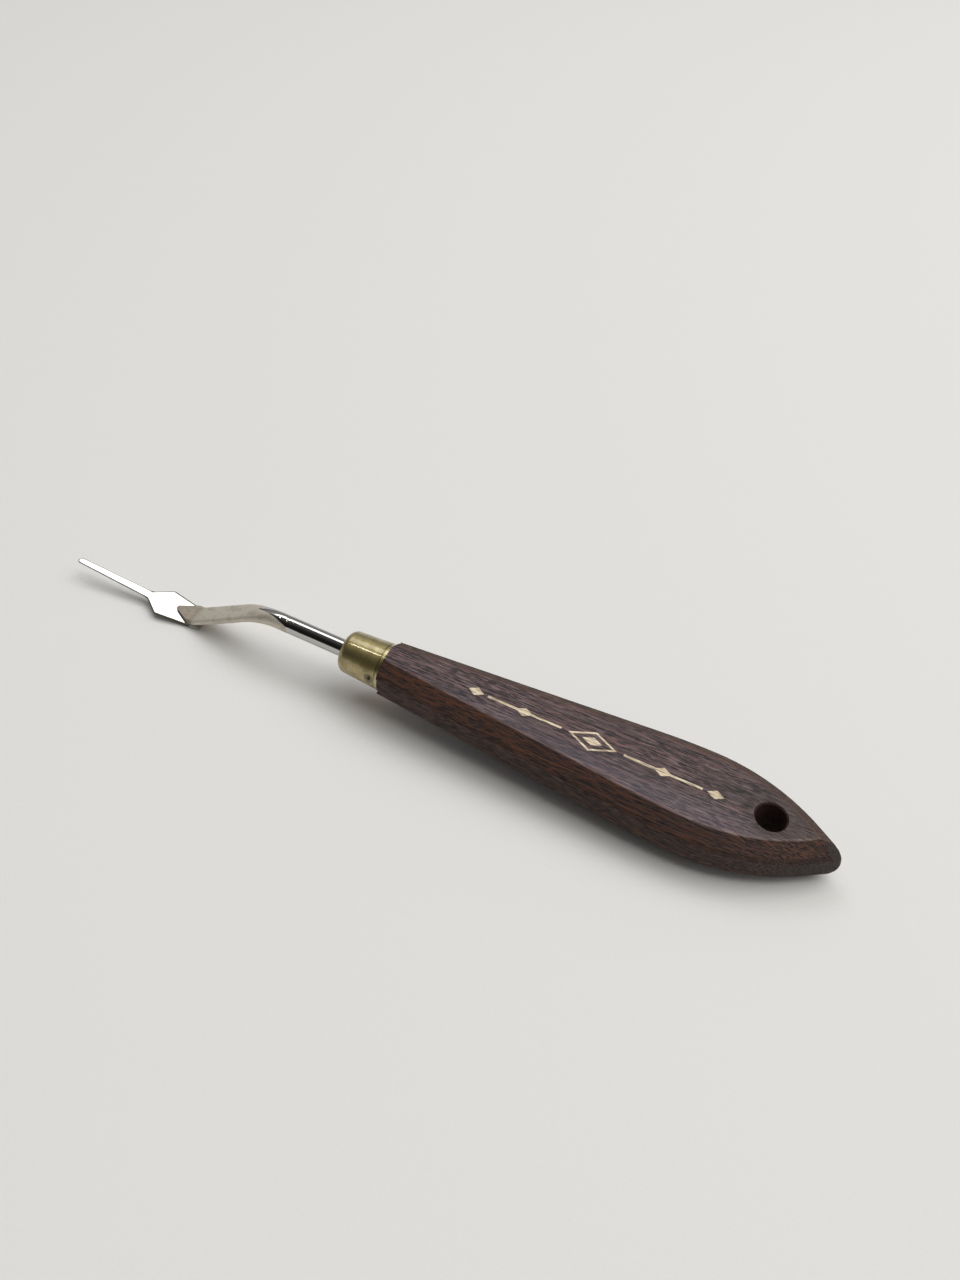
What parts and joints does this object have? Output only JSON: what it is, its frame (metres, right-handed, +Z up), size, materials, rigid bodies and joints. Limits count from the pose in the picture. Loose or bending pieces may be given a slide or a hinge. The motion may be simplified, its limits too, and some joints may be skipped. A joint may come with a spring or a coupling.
{
  "type": "palette knife",
  "caption": "Small cranked palette knife: thin steel blade with a narrow finger, leaf-footed shank, brass ferrule and bevelled wooden handle with a hanging hole.",
  "frame": {"origin": "on the table, under the middle of the knife's length and width, with the knife lying as it rests", "axes": "+X from the blade's tip towards the handle's tail, +Y across the knife, +Z up off the table; the handle's own axis drops towards the tail by about 3.1 degrees"},
  "size_m": [0.1784, 0.022, 0.0153],
  "materials": {
    "blade_steel": "polished thin spring steel",
    "shank_steel": "round rod polished bright, pressed neck and foot left satin",
    "ferrule_brass": "satin drawn brass, slightly dulled",
    "handle_wood": "dark stained fine-pored hardwood, thin satin varnish, paler at the front of the bevels"
  },
  "bodies": {
    "root": {"blade": "blade_steel", "shank": "shank_steel", "ferrule": "ferrule_brass", "handle": "handle_wood"}
  },
  "joints": []
}
